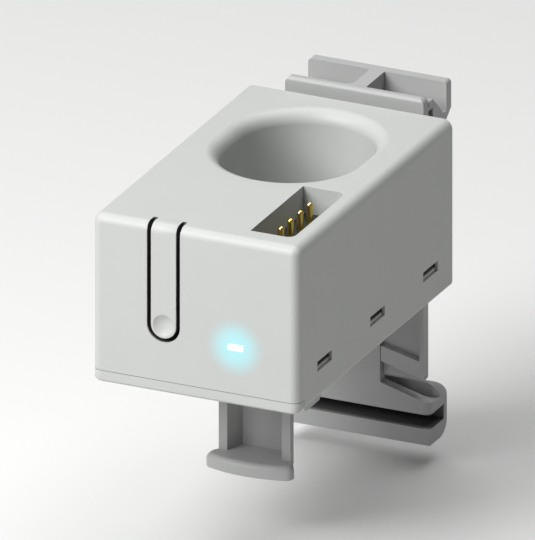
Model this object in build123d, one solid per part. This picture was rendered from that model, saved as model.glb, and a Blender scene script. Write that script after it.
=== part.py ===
from build123d import *
import os
from math import radians, sin

os.makedirs("parts", exist_ok=True)

# Current sensor for a 35 mm mounting rail.
# Sizes are in millimetres. While it is drawn, X runs from the middle plane to the right, Y from the
# front face back to the rail, and Z up from the underside of the housing. The written pieces are
# moved so that the origin lies on the rail's front plane, in the middle of its height.

# Walls and clearances
side_wall = 1.2
front_wall = 1.5
back_wall = 1.2
roof = 2.0
strip_h = 1.4
edge_r = 1.1
rear_bevel = 0.25
foot_bevel = 0.25
foot_r = 0.85
fit_gap = 0.06

# Window for the conductor, an oval with straight sides
pass_w = 16.0
pass_straight = 3.8
mouth_r = 1.6
under_r = 0.9
tube_wall = 1.0

# Magnetic core round the window, its holder, and the sensing element in its gap
core_clear = 0.25
core_t = 1.4
core_side_gap = 0.85
core_over_gap = 1.0
core_gap = 2.0
holder_t = 1.0
holder_over = 0.1
holder_gap = 5.0
leg_w = 1.2
leg_l = 2.4
hall_t = 1.55
hall_w = 3.4
hall_h = 4.0
hall_lead_s = 0.4
hall_lead_pitch = 1.0
hall_lead_hole = 0.44

# Push button, a tongue in the front wall
tongue_from_side = 8.785
tongue_r = 1.535
tongue_slot = 0.5
tongue_arc_z = 8.1
tongue_root = 1.85
tongue_t = 1.3
tongue_gap = 0.02
dimple_r = 1.3
dimple_deep = 0.45
boss_r = 0.9
boss_end = 3.6

# Circuit board, with the posts of the base plate that carry it
board_z = 3.4
board_t = 1.6
board_side_gap = 0.4
board_over = 0.9
board_core_gap = 0.15
board_hook_gap = 0.3
post_r = 1.2
post_inset = 0.25
stake_r = 0.6
stake_over = 0.4
tail_under = 0.8

# Push switch behind the tongue
switch_w = 6.0
switch_d = 4.0
switch_h = 5.9
switch_y0 = 4.6
switch_bore = 1.4
switch_foot_w = 0.6
switch_foot_h = 1.2
plunger_r = 1.0
plunger_gap = 0.05
plunger_stroke = 0.26

# Chips and capacitors on the board
chip_s = 4.4
chip_t = 0.9
chip_lift = 0.1
chip_from_edge = 4.4
chip_from_switch = 1.2
chip_leads_a_side = 5
chip_lead_pitch = 0.8
chip_lead_w = 0.3
lead_reach = 0.5
lead_t = 0.4
driver_w = 3.4
driver_l = 4.9
driver_from_wall = 7.1
driver_from_middle = 1.3075
driver_leads_a_side = 4
driver_lead_pitch = 1.27
window_from_chip = 2.4
cap_w = 0.8
cap_l = 1.6

# Connector well and its pins
well_w = 5.2
well_from_side = 2.0
well_y0 = 2.8
well_from_window = 0.6
well_corner = 1.0
well_wall = 1.0
well_depth = 3.2
header_h = 2.6
pin_count = 4
pin_pitch = 2.54
pin_r = 0.38
pin_tail = 0.46
pin_from_well_side = 2.2
pin_from_well_front = 3.45
pin_sink = 0.4

# Lamp and its window
lamp_from_side = 7.8
lamp_z = 6.95
lamp_w = 1.95
lamp_h = 0.8
lamp_flange = 0.45
lamp_body_w = 3.2
lamp_body_t = 1.2
lamp_r = 0.7

# Snap hooks of the base plate and their windows in the side walls
snap_count = 3
snap_y0 = 7.0
snap_pitch = 14.2
snap_w = 3.9
snap_z0 = 3.45
snap_h = 1.25
hook_w = 3.4
hook_t = 0.8
hook_reach = 1.0
tooth_t = 0.34

# Pads under the side walls
pad_y0 = 2.3
pad_l = 4.6
pad_t = 0.8
pad_h = 0.5

# Housing, round what it holds
house_h = 20.2
house_w = pass_w + 2 * (tube_wall + core_clear + core_t + core_side_gap + side_wall)
pass_l = pass_w + pass_straight
front_bay = switch_y0 + switch_d + chip_from_switch + chip_s + 2 * lead_reach + window_from_chip
house_d = front_bay + pass_l + tube_wall + 2 * core_clear + core_t + back_wall
pass_y = front_bay + pass_l / 2

# Mounting rail, and the bracket's walls on it
rail_h = 35.0
rail_t = 1.0
rail_gap = 0.2
rail_mid_z = 2.0
stand_off = 1.15
clip_w = 17.0
clip_wall = 1.3
clip_over_rail = 1.8
rear_over_rail = 1.65
clip_corner = 0.75
rear_corner = 0.45
clip_rim = 0.45

# Upper hook
rear_wall_out = 4.9
rear_wall_t = 1.25
ridge_h = 1.05
ridge_back = 0.2
groove_h = 0.5
trough_drop = 1.75
trough_w = 0.8
hook_drop = 4.0
hook_tip = 1.4
web_t = 1.75
web_fillet = 0.9

# Frame of the bracket, its lower rib and the thin panel behind them
frame_t = 0.5
frame_drop = 1.5
gate_w = 6.52
rib_rise_in = 6.2
rib_rise_out = 5.1
rib_t_in = 1.8
rib_t_out = 2.15
rib_corner = 0.2
panel_t = 0.5
panel_rise = 2.6
panel_corner = 0.4

# Lugs that hold the bracket in keyholes of the housing's back wall
lug_x = 5.7
lug_neck = 1.4
lug_head = 2.8
lug_head_t = 0.8
lug_z0 = 9.5
lug_h = 4.0
spacer_w = 4.15
spacer_z0 = 3.0
spacer_drop = 3.2

# Spring of the latch, on its stem in the bracket's box
stem_r = 0.8
wire_r = 0.2
wire_sides = 6
spring_gap = 0.25
spring_len = 6.6
spring_turns = 6
spring_from_rail = 0.35
head_over = 0.15
head_t = 1.2
head_gap = 0.3
ledge_drop = 1.0
ledge_t = 1.0
box_inset = 1.3
box_skin = 0.6
box_floor_rise = 5.5
box_head_room = 1.25

# Latch: the foot under the rail, the flat yoke under the housing and the pull tab in front
latch_gap = 0.05
foot_w = 18.54
foot_h = 4.9
foot_out = 3.31
foot_heel_r = 1.8
foot_back_r = 2.0
foot_corner_r = 0.85
foot_end_r = 1.9
nose_rise = 1.65
ledge_rise_in = 1.8
ledge_rise_out = 0.15
driver_z = -2.1
driver_h = 1.7
driver_in = 2.3
neck_gap = 0.1
yoke_inset = 2.4
yoke_arm = 1.6
yoke_drop = 0.4
yoke_t = 1.4
yoke_rear = 4.3
yoke_corner_r = 4.0
yoke_from_clip = 0.25
tab_w = 8.8
tab_from_window = 1.7
tab_drop = 12.9
tab_back_w = 6.6
tab_flange = 1.05
tab_channel = 2.4
tab_web = 0.9
lip_t = 1.68
lip_over = 0.92
lip_front = 1.7
lip_bulge = 0.95
lip_end_r = 0.85
lip_side = 0.7
lip_top_r = 0.7
lip_under_r = 0.2

# Places that follow from the sizes above
half_w = house_w / 2
in_x = half_w - side_wall
in_y = house_d - back_wall
pass_r = pass_w / 2
board_top = board_z + board_t
board_half = in_x - board_side_gap
board_y0 = front_wall + board_side_gap
board_y1 = front_bay + board_over
tongue_x = -half_w + tongue_from_side
lamp_x = half_w - lamp_from_side
switch_y1 = switch_y0 + switch_d
well_x1 = half_w - well_from_side
well_x0 = well_x1 - well_w
well_y1 = front_bay - well_from_window
well_floor = house_h - well_depth
header_z = well_floor - header_h
pin_x = well_x0 + pin_from_well_side
core_in = pass_r + tube_wall + core_clear
core_z0 = board_top + holder_t
core_z1 = header_z - core_over_gap
hall_y = front_bay - tube_wall - core_clear - hall_w / 2
hall_z = (core_z0 + core_z1) / 2
chip_x = -board_half + chip_from_edge
chip_y = switch_y1 + chip_from_switch + lead_reach + chip_s / 2
driver_x = (tongue_x + pin_x) / 2 + driver_from_middle
driver_y = front_wall + driver_from_wall
snap_z1 = snap_z0 + snap_h
clip_y = house_d + stand_off
rail_y = clip_y + clip_wall
rail_back = rail_y + rail_t + rail_gap
rail_top = rail_mid_z + rail_h / 2
rail_bottom = rail_mid_z - rail_h / 2
clip_top = rail_top + clip_over_rail
rear_top = rail_top + rear_over_rail
rear_wall_y = rail_y + rear_wall_out
ledge_z = rail_mid_z - ledge_drop
ledge_top = ledge_z + ledge_t
head_z = ledge_top + spring_len
spring_y = rail_y + spring_from_rail
spring_r = stem_r + spring_gap + wire_r
head_r = spring_r + wire_r + head_over
pocket_y1 = spring_y + head_r + 0.1
box_back = pocket_y1 + box_skin
yoke_w = house_w - 2 * yoke_inset
yoke_z1 = -yoke_drop
yoke_z0 = yoke_z1 - yoke_t
yoke_y1 = clip_y - yoke_from_clip
tab_y = front_bay - tab_from_window
tab_back = tab_y + tab_channel + tab_web
tab_z = -tab_drop
neck_half = gate_w / 2 - neck_gap
under_all = rail_bottom - foot_h - 1


def block(x0, x1, y0, y1, z0, z1):
    """A box between two corners."""
    size = (x1 - x0, y1 - y0, z1 - z0)
    middle = ((x0 + x1) / 2, (y0 + y1) / 2, (z0 + z1) / 2)
    return Pos(*middle) * Box(*size)


def pair(solid):
    """A solid and its mirror image across the middle plane."""
    return [solid, mirror(solid, about=Plane.YZ)]


def outline(*points):
    """A flat face inside straight lines from point to point."""
    return make_face(Polyline(*points, close=True))


def along_x(face, x0, x1):
    """A face drawn in (y, z) carried from x0 to x1."""
    return extrude(Plane.YZ.offset(x0) * face, amount=x1 - x0)


def along_y(face, y0, y1):
    """A face drawn in (x, z) carried from y0 to y1."""
    return extrude(Plane.XZ.offset(-y0) * face, amount=-(y1 - y0))


def along_z(face, z0, z1):
    """A face drawn in (x, y) carried from z0 to z1."""
    return extrude(Plane.XY.offset(z0) * face, amount=z1 - z0)


def rod(x, y, radius, z0, z1):
    """An upright round rod."""
    return along_z(Pos(x, y) * Circle(radius), z0, z1)


def window(radius, z0, z1):
    """The oval of the conductor's window, with its ends struck at a given radius."""
    oval = SlotCenterToCenter(pass_straight, 2 * radius, rotation=90)
    return along_z(Pos(0, pass_y) * oval, z0, z1)


def slit_ring(inner, outer, slit, z0, z1):
    """An oval ring round the window, with a gap at the front."""
    ring = window(outer, z0, z1) - window(inner, z0 - 1, z1 + 1)
    return ring - block(-slit / 2, slit / 2, 0, pass_y, z0 - 1, z1 + 1)


def make_housing_body():
    """The plain outside of the housing: edges rounded, but only broken at the back and under the front."""
    body = block(-half_w, half_w, 0, house_d, 0, house_h)
    body = fillet(body.edges().filter_by(Axis.Z).sort_by(Axis.Y)[:2], edge_r)
    body = fillet(body.faces().sort_by(Axis.Z)[-1].edges().sort_by(Axis.Y)[:-1], edge_r)
    body = chamfer(body.faces().sort_by(Axis.Z)[0].edges().sort_by(Axis.Y)[:-1], foot_bevel)
    rear = body.faces().sort_by(Axis.Y)[-1].edges().sort_by(Axis.Z)
    body = chamfer(rear[1:], rear_bevel)
    below = Pos(half_w - foot_r / 2 + 0.5, foot_r / 2 - 0.5) * Rectangle(foot_r + 1, foot_r + 1)
    below -= Pos(half_w - foot_r, foot_r) * Circle(foot_r)
    for side in pair(along_y(below, -1, house_d + 1)):
        body -= side
    return body


def tongue_face(radius):
    """The outline of the tongue: a round end, and straight sides that run out over the top."""
    top = house_h + 1
    stem = Pos(tongue_x, (tongue_arc_z + top) / 2) * Rectangle(2 * radius, top - tongue_arc_z)
    return stem + Pos(tongue_x, tongue_arc_z) * Circle(radius)


def well_space(shrink, z0, z1):
    """The connector well, with its outer corners rounded, or a block that fits in it."""
    face = Pos((well_x0 + well_x1) / 2, (well_y0 + well_y1) / 2) * Rectangle(
        well_w - 2 * shrink, well_y1 - well_y0 - 2 * shrink)
    face = fillet(face.vertices().sort_by(Axis.X)[-2:], well_corner)
    return along_z(face, z0, z1)


def snap_places():
    """How far back the snap hooks stand."""
    return [snap_y0 + i * snap_pitch for i in range(snap_count)]


def make_cover(body):
    """The shell with the conductor's window, the connector well and the button's opening."""
    cover = body - block(-in_x, in_x, front_wall, in_y, -1, house_h - roof)
    cover += window(pass_r + tube_wall, strip_h, house_h - roof / 2)
    cover += block(well_x0 - well_wall, in_x, front_wall, well_y1 + well_wall, header_z, house_h - roof / 2)
    cover -= window(pass_r, -1, house_h + 1)
    rim = cover.faces().filter_by(Plane.XY).sort_by(Axis.Z)[-1].inner_wires()[0].edges()
    cover = fillet(rim, mouth_r)
    cover -= well_space(0, header_z - 1, house_h + 1)
    cover -= block(-half_w, half_w, -1, front_wall + fit_gap, -1, strip_h)
    cover -= along_y(tongue_face(tongue_r + tongue_slot), -1, tongue_root)
    cover -= block(lamp_x - lamp_w / 2, lamp_x + lamp_w / 2, -1, front_wall + 1,
                   lamp_z - lamp_h / 2, lamp_z + lamp_h / 2)
    for y in snap_places():
        for side in pair(block(in_x - 0.1, half_w + 1, y - snap_w / 2, y + snap_w / 2, snap_z0, snap_z1)):
            cover -= side
    for keyhole in pair(make_keyhole()):
        cover -= keyhole
    pad = outline((pad_y0, foot_r / 2), (pad_y0, 0), (pad_y0 + pad_h, -pad_h), (pad_y0 + pad_l - pad_h, -pad_h),
                  (pad_y0 + pad_l, 0), (pad_y0 + pad_l, foot_r / 2))
    for side in pair(along_x(pad, in_x, in_x + pad_t)):
        cover += side
    return cover


def make_keyhole():
    """The opening in the back wall for a lug: wide below for its head, narrow above for its neck."""
    neck = lug_neck / 2 + 2 * fit_gap
    head = lug_head / 2 + 2 * fit_gap
    low = lug_z0 - lug_h - 1
    slot = block(lug_x - neck, lug_x + neck, in_y - 1, house_d + 1, low, lug_z0 + lug_h + 2 * fit_gap)
    return slot + block(lug_x - head, lug_x + head, in_y - 1, house_d + 1, low, lug_z0 - fit_gap)


def make_lug():
    """One of the bracket's lugs: a neck through the keyhole, with a head inside the wall."""
    neck = block(lug_x - lug_neck / 2, lug_x + lug_neck / 2, in_y - lug_head_t - fit_gap, clip_y + 0.1,
                 lug_z0, lug_z0 + lug_h)
    return neck + block(lug_x - lug_head / 2, lug_x + lug_head / 2, in_y - lug_head_t - fit_gap,
                        in_y - fit_gap, lug_z0, lug_z0 + lug_h)


def make_tongue(body):
    """The button: the part of the front wall inside the slot, hung from the top edge."""
    root_z = house_h - tongue_t
    tongue = body & along_y(tongue_face(tongue_r), -1, tongue_root)
    tongue -= block(-half_w, half_w, tongue_t, house_d, -1, root_z)
    lean = tongue_t * sin(radians(2.0))
    top = tongue_root - tongue_gap
    relief = outline((top, house_h + 1), (top, house_h), (top - lean, root_z), (top - lean, root_z - 1),
                     (top + 2, root_z - 1), (top + 2, house_h + 1))
    tongue -= along_x(relief, -half_w, half_w)
    ball = (dimple_r ** 2 + dimple_deep ** 2) / (2 * dimple_deep)
    tongue -= Pos(tongue_x, dimple_deep - ball, tongue_arc_z) * Sphere(ball)
    boss = along_y(Pos(tongue_x, tongue_arc_z) * Circle(boss_r), tongue_t - 0.2, boss_end)
    return tongue + chamfer(boss.faces().sort_by(Axis.Y)[-1].edges(), boss_r / 3)


def make_base_plate(body):
    """The underside: a plate between the side walls, with the front strip and the snap hooks."""
    plate_x = in_x - fit_gap
    plate = block(-plate_x, plate_x, front_wall - 0.5, in_y - fit_gap, 0, strip_h)
    plate += body & block(-half_w, half_w, -1, front_wall, 0, strip_h)
    plate -= window(pass_r, -1, strip_h + 1)
    under = plate.faces().filter_by(Plane.XY).sort_by(Axis.Z)[0].inner_wires()[0].edges()
    plate = fillet(under, under_r)
    tooth_z = snap_z0 + fit_gap
    top = snap_z1 - fit_gap
    hook = outline((plate_x - hook_t, strip_h - 0.2), (plate_x, strip_h - 0.2), (plate_x, tooth_z),
                   (plate_x + hook_reach, tooth_z), (plate_x + hook_reach, tooth_z + tooth_t),
                   (plate_x, top), (plate_x - hook_t, top))
    for y in snap_places():
        for side in pair(along_y(hook, y - hook_w / 2, y + hook_w / 2)):
            plate += side
    for x, y in post_places():
        plate += rod(x, y, post_r, strip_h - 0.2, board_z) + rod(x, y, stake_r, strip_h, board_top + stake_over)
    return plate


def post_places():
    """Where the board's four posts stand, near its corners."""
    reach = post_r + post_inset
    return [(side * (board_half - reach), y) for side in (-1, 1) for y in (board_y0 + reach, board_y1 - reach)]


def pin_places():
    """Where the connector's pins stand."""
    return [(pin_x, well_y0 + pin_from_well_front + i * pin_pitch) for i in range(pin_count)]


def hall_lead_places():
    """Where the sensing element's three leads stand."""
    return [(0, hall_y + i * hall_lead_pitch) for i in (-1, 0, 1)]


def make_board():
    """The circuit board, cut away round the window and for the front pair of hooks."""
    board = block(-board_half, board_half, board_y0, board_y1, board_z, board_top)
    board -= window(core_in + board_core_gap, 0, house_h)
    notch_x = in_x - hook_t - board_hook_gap
    for notch in pair(block(notch_x, half_w, snap_y0 - snap_w / 2, snap_y0 + snap_w / 2, 0, house_h)):
        board -= notch
    for x, y in post_places():
        board -= rod(x, y, stake_r + fit_gap, 0, house_h)
    for x, y in pin_places():
        board -= rod(x, y, 0.71 * pin_tail + fit_gap, 0, house_h)
    for x, y in hall_lead_places():
        board -= rod(x, y, hall_lead_hole, 0, house_h)
    return board


def make_pins():
    """The connector's four round pins, on thin square tails through the header and the board."""
    pins = []
    for x, y in pin_places():
        pin = rod(x, y, pin_r, well_floor, house_h - pin_sink)
        pin = chamfer(pin.faces().sort_by(Axis.Z)[-1].edges(), pin_r / 2)
        tail = Pos(x, y) * Rectangle(pin_tail, pin_tail)
        pins.append(pin + along_z(tail, board_z - tail_under, well_floor + 0.1))
    return Compound(children=pins)


def make_header():
    """The moulded block that closes the well and holds the pins upright."""
    header = well_space(fit_gap, header_z, well_floor)
    for x, y in pin_places():
        header -= along_z(Pos(x, y) * Rectangle(pin_tail + 0.04, pin_tail + 0.04), 0, house_h)
    return header


def make_lamp_window():
    """The clear block that carries the light through the front wall, with a flange behind the wall."""
    half = lamp_w / 2 - fit_gap
    high = lamp_h / 2 - fit_gap
    lens = block(lamp_x - half, lamp_x + half, 0, front_wall + 0.4, lamp_z - high, lamp_z + high)
    half += lamp_flange
    high += lamp_flange
    return lens + block(lamp_x - half, lamp_x + half, front_wall + 0.01, front_wall + 0.6,
                        lamp_z - high, lamp_z + high)


def make_lamp():
    """The side-facing lamp on the board, behind its window."""
    front = front_wall + 0.8
    body_y = front + 0.5
    body = block(lamp_x - lamp_body_w / 2, lamp_x + lamp_body_w / 2, body_y, body_y + lamp_body_t,
                 board_top, lamp_z + lamp_r + 0.2)
    dome = along_y(Pos(lamp_x, lamp_z) * Circle(lamp_r), front, body_y + 0.1)
    return body + chamfer(dome.faces().sort_by(Axis.Y)[0].edges(), lamp_r / 2)


def make_switch():
    """The body of the push switch behind the tongue, with the bore for its plunger."""
    body = block(tongue_x - switch_w / 2, tongue_x + switch_w / 2, switch_y0, switch_y1,
                 board_top, board_top + switch_h)
    body = chamfer(body.edges().filter_by(Axis.Y), 0.3)
    bore = Pos(tongue_x, tongue_arc_z) * Circle(plunger_r + plunger_gap)
    return body - along_y(bore, switch_y0 - 1, switch_y0 + switch_bore)


def make_plunger():
    """The switch's plunger, a little clear of the tongue's boss."""
    plunger = along_y(Pos(tongue_x, tongue_arc_z) * Circle(plunger_r), boss_end + plunger_gap,
                      switch_y0 + switch_bore - plunger_stroke - 2 * plunger_gap)
    return chamfer(plunger.faces().sort_by(Axis.Y)[0].edges(), 0.2)


def make_switch_feet():
    """The switch's four soldered feet, against its sides."""
    feet = []
    for side in (-1, 1):
        x = tongue_x + side * (switch_w + switch_foot_w) / 2
        for y in (switch_y0 + switch_d / 5, switch_y1 - switch_d / 5):
            feet.append(block(x - switch_foot_w / 2, x + switch_foot_w / 2, y - 0.35, y + 0.35,
                              board_top, board_top + switch_foot_h))
    return Compound(children=feet)


def make_core():
    """The wound strip core with the gap for the sensing element."""
    return slit_ring(core_in, core_in + core_t, core_gap, core_z0, core_z1)


def make_core_holder():
    """The ring that carries the core, with four legs on the base plate."""
    ring = slit_ring(core_in - holder_over, core_in + core_t + holder_over, holder_gap, board_top, core_z0)
    x = core_in + core_t / 2
    for y in (pass_y - pass_straight / 2 - leg_l / 3, pass_y + pass_straight / 2 + leg_l / 3):
        for leg in pair(block(x - leg_w / 2, x + leg_w / 2, y - leg_l / 2, y + leg_l / 2,
                              strip_h, core_z0 - holder_t / 4)):
            ring += leg
    return ring


def make_hall():
    """The sensing element that stands in the core's gap."""
    body = block(-hall_t / 2, hall_t / 2, hall_y - hall_w / 2, hall_y + hall_w / 2,
                 hall_z - hall_h / 2, hall_z + hall_h / 2)
    return chamfer(body.edges().filter_by(Axis.Z).sort_by(Axis.X)[-2:], 0.35)


def make_hall_leads():
    """The sensing element's three leads, down through the board."""
    leads = [along_z(Pos(x, y) * Rectangle(hall_lead_s, hall_lead_s), board_z - tail_under, hall_z - hall_h / 2)
             for x, y in hall_lead_places()]
    return Compound(children=leads)


def make_chip(x, y, w, d):
    """A moulded chip with bevelled edges, held up by its leads."""
    chip = block(x - w / 2, x + w / 2, y - d / 2, y + d / 2, board_top + chip_lift, board_top + chip_lift + chip_t)
    return chamfer(chip.faces().sort_by(Axis.Z)[-1].edges(), 0.15)


def lead_row(x, y, count, pitch, turn):
    """A row of flat leads beside a chip, along Y, or along X if it is turned."""
    size = (lead_reach, chip_lead_w) if not turn else (chip_lead_w, lead_reach)
    leads = []
    for i in range(count):
        step = (i - (count - 1) / 2) * pitch
        place = (x, y + step) if not turn else (x + step, y)
        leads.append(along_z(Pos(*place) * Rectangle(*size), board_top, board_top + lead_t))
    return leads


def make_chip_leads():
    """The flat leads of both chips."""
    out = (chip_s + lead_reach) / 2
    driver_out = (driver_w + lead_reach) / 2
    leads = []
    for side in (-1, 1):
        leads += lead_row(chip_x + side * out, chip_y, chip_leads_a_side, chip_lead_pitch, False)
        leads += lead_row(chip_x, chip_y + side * out, chip_leads_a_side, chip_lead_pitch, True)
        leads += lead_row(driver_x + side * driver_out, driver_y, driver_leads_a_side, driver_lead_pitch, False)
    return Compound(children=leads)


def make_capacitors():
    """A few small capacitors round the chips."""
    edge_x = -board_half + cap_w
    back_y = driver_y + driver_l / 2 + cap_l
    places = ((edge_x, chip_y - cap_l), (edge_x, chip_y + cap_l),
              (chip_x + chip_s / 2 + lead_reach + 2 * cap_w, chip_y - cap_l),
              (driver_x, back_y), (driver_x + 2.5 * cap_w, back_y))
    return Compound(children=[block(x - cap_w / 2, x + cap_w / 2, y - cap_l / 2, y + cap_l / 2,
                                    board_top, board_top + cap_w) for x, y in places])


def rounded_wall(y0, y1, low, top, corner):
    """An upright wall of the clip, rounded over its top and at its upper corners."""
    front = Pos(0, (top + low) / 2) * Rectangle(clip_w, top - low)
    front = fillet(front.vertices().sort_by(Axis.Y)[-2:], corner)
    side = Pos((y0 + y1) / 2, (top + low) / 2) * Rectangle(y1 - y0, top - low)
    side = fillet(side.vertices().sort_by(Axis.Y)[-2:], clip_rim)
    return along_y(front, y0, y1) & along_x(side, -clip_w, clip_w)


def corner_cuts(x, y, radius, z0, z1):
    """What is taken off an upright front corner to round it, on both sides of the middle plane."""
    face = Pos(x + 0.5 - radius / 2, y - 0.5 + radius / 2) * Rectangle(radius + 1, radius + 1)
    face -= Pos(x - radius, y + radius) * Circle(radius)
    return pair(along_z(face, z0, z1))


def make_bracket():
    """The fixed half of the rail clip: front wall with its frame, upper hook and spring box."""
    half = clip_w / 2
    gate = gate_w / 2
    edge = half - frame_t
    frame_z = -frame_drop
    rib_in = rail_bottom + rib_rise_in
    rib_out = rail_bottom + rib_rise_out
    panel_z = rail_bottom + panel_rise
    frame = outline((-half, 0), (-half, rib_out - rib_t_out), (-gate, rib_in - rib_t_in),
                    (gate, rib_in - rib_t_in), (half, rib_out - rib_t_out), (half, 0))
    frame = fillet([v for v in frame.vertices() if abs(v.X) > gate + 0.1 and v.Y < -1], rib_corner)
    frame -= outline((-edge, frame_z), (-edge, rib_out), (-gate, rib_in), (-gate, under_all), (gate, under_all),
                     (gate, rib_in), (edge, rib_out), (edge, frame_z))
    bracket = along_y(frame, clip_y, rail_y) + rounded_wall(clip_y, rail_y, frame_z, clip_top, clip_corner)
    panel = outline((gate, frame_z + 1), (gate, panel_z), (half, panel_z), (half, frame_z + 1))
    panel = fillet([v for v in panel.vertices() if v.X > gate + 0.1 and v.Y < frame_z], panel_corner)
    for side in pair(along_y(panel, rail_y - panel_t, rail_y)):
        bracket += side
    bracket += make_hook()

    box_half = clip_w / 2 - box_inset
    box_low = rail_bottom + box_floor_rise
    box_top = head_z + head_t + box_head_room + box_skin
    inner = box_half - box_skin
    deep = box_back - box_skin
    bracket += block(-box_half, box_half, rail_y, box_back, box_low, box_top)
    bracket -= block(-inner, inner, rail_y, deep, box_low - 1, frame_z)
    bracket -= block(-gate, gate, clip_y - 1, deep, box_low - 1, ledge_z)
    pocket = head_r + head_gap
    bracket -= block(-pocket, pocket, clip_y - 1, pocket_y1, ledge_top, box_top - box_skin)
    stem_slot = stem_r + 0.15
    bracket -= block(-stem_slot, stem_slot, clip_y - 1, spring_y + stem_slot + 0.15, ledge_z - 1, ledge_top + 1)
    spacer = block(lug_x - spacer_w / 2, lug_x + spacer_w / 2, house_d, clip_y + 0.2,
                   spacer_z0, house_h - spacer_drop)
    for part in (*pair(spacer), *pair(make_lug())):
        bracket += part
    return bracket


def make_hook():
    """The upper hook, which hangs on the rail's top edge, with the web between its two walls."""
    half = clip_w / 2
    back = rear_wall_y + rear_wall_t
    ridge = rail_top + ridge_h
    groove = rail_top + groove_h
    trough = rail_top - trough_drop
    low = rail_top - hook_drop
    section = outline((rail_y - 0.3, rail_top), (rail_y - 0.3, groove), (rail_y + ridge_back, groove),
                      (rail_y + ridge_back, ridge), (rail_back, ridge), (rear_wall_y - trough_w, trough),
                      (rear_wall_y + 0.5, trough), (back, trough), (back - rear_wall_t, trough - 1),
                      (rail_back + hook_tip, low), (rail_back, low), (rail_back, rail_top))
    section = fillet([v for v in section.vertices() if v.Y > ridge - 0.01], 0.3)
    section = fillet([v for v in section.vertices() if v.Y < low + 0.01], 0.4)
    hook = along_x(section, -half, half) + rounded_wall(rear_wall_y, back, trough, rear_top, rear_corner)

    side = web_t / 2
    web = Pos(0, (rail_y + rear_wall_y) / 2) * Rectangle(web_t, rear_wall_y - rail_y + 0.4)
    corner = Pos(-side - web_fillet / 2, rail_y + web_fillet / 2) * Rectangle(web_fillet, web_fillet)
    web += corner - Pos(-side - web_fillet, rail_y + web_fillet) * Circle(web_fillet)
    hook += along_z(web, groove - 0.2, rear_top)
    gusset = outline((rail_back, groove), (rear_wall_y - trough_w, trough - 0.2), (rear_wall_y + 0.2, trough - 0.2),
                     (rear_wall_y + 0.2, groove))
    return hook + along_x(gusset, -side, side)


def make_latch():
    """The sliding half of the rail clip, in one piece with its yoke and pull tab."""
    neck_low = rail_bottom + ledge_rise_in - 2
    latch = make_foot() + make_yoke() + make_tab()
    latch += block(-neck_half, neck_half, clip_y, rail_y, neck_low, yoke_z1)
    latch += block(-neck_half, neck_half, clip_y, spring_y + stem_r + 0.1, yoke_z0 - yoke_t, ledge_z - latch_gap)
    latch += rod(0, spring_y, stem_r, ledge_z - 0.5, head_z + 0.2)
    head = rod(0, spring_y, head_r, head_z, head_z + head_t)
    return latch + chamfer(head.faces().sort_by(Axis.Z)[-1].edges(), head_t / 3)


def make_foot():
    """The foot that grips under the rail, with the slot for a screwdriver."""
    half = foot_w / 2
    low = rail_bottom - foot_h
    nose_z = rail_bottom + nose_rise
    back = rail_y + foot_out
    slot_y = rail_y + driver_in
    slot_z = rail_bottom + driver_z
    side = outline((clip_y, low), (clip_y, slot_z - driver_h / 2), (slot_y, slot_z - driver_h / 2),
                   (slot_y, slot_z + driver_h / 2), (clip_y, slot_z + driver_h / 2), (clip_y, rail_bottom),
                   (rail_back, rail_bottom), (rail_back, nose_z), (back, nose_z), (back, low))
    side = fillet([v for v in side.vertices() if v.X > back - 0.01 and v.Y < low + 0.01], foot_heel_r)
    side = fillet([v for v in side.vertices() if v.X > back - 0.01 and v.Y > nose_z - 0.01], foot_back_r)
    front = Pos(0, (nose_z + low) / 2) * Rectangle(foot_w, nose_z - low)
    front = fillet(front.vertices().sort_by(Axis.Y)[-2:], foot_end_r)
    foot = along_x(side, -half, half) & along_y(front, clip_y - 1, back + 1)
    for cut in corner_cuts(half, rail_back, foot_corner_r, rail_bottom, nose_z + 1):
        foot -= cut

    ledge_in = rail_bottom + ledge_rise_in
    ledge_out = rail_bottom + ledge_rise_out
    ledge = outline((-half, rail_bottom - 0.5), (-half, ledge_out), (-neck_half, ledge_in),
                    (neck_half, ledge_in), (half, ledge_out), (half, rail_bottom - 0.5))
    foot += along_y(ledge, clip_y, rail_y)
    for cut in corner_cuts(half, clip_y, foot_corner_r, slot_z + driver_h / 2, ledge_in):
        foot -= cut
    return foot


def make_yoke():
    """The flat frame under the housing, open round the conductor's window."""
    face = Pos(0, (tab_y + yoke_y1) / 2) * Rectangle(yoke_w, yoke_y1 - tab_y)
    face = chamfer(face.vertices().sort_by(Axis.Y)[:2], yoke_corner_r)
    face = fillet(face.vertices().sort_by(Axis.Y)[-2:], yoke_corner_r - yoke_arm)
    face += Pos(0, (yoke_y1 + rail_y) / 2 - 0.5) * Rectangle(2 * neck_half, rail_y - yoke_y1 + 1)
    rear = yoke_y1 - yoke_rear
    face -= Pos(0, (tab_back + rear) / 2) * RectangleRounded(yoke_w - 2 * yoke_arm, rear - tab_back, yoke_corner_r)
    return along_z(face, yoke_z0, yoke_z1)


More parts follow.
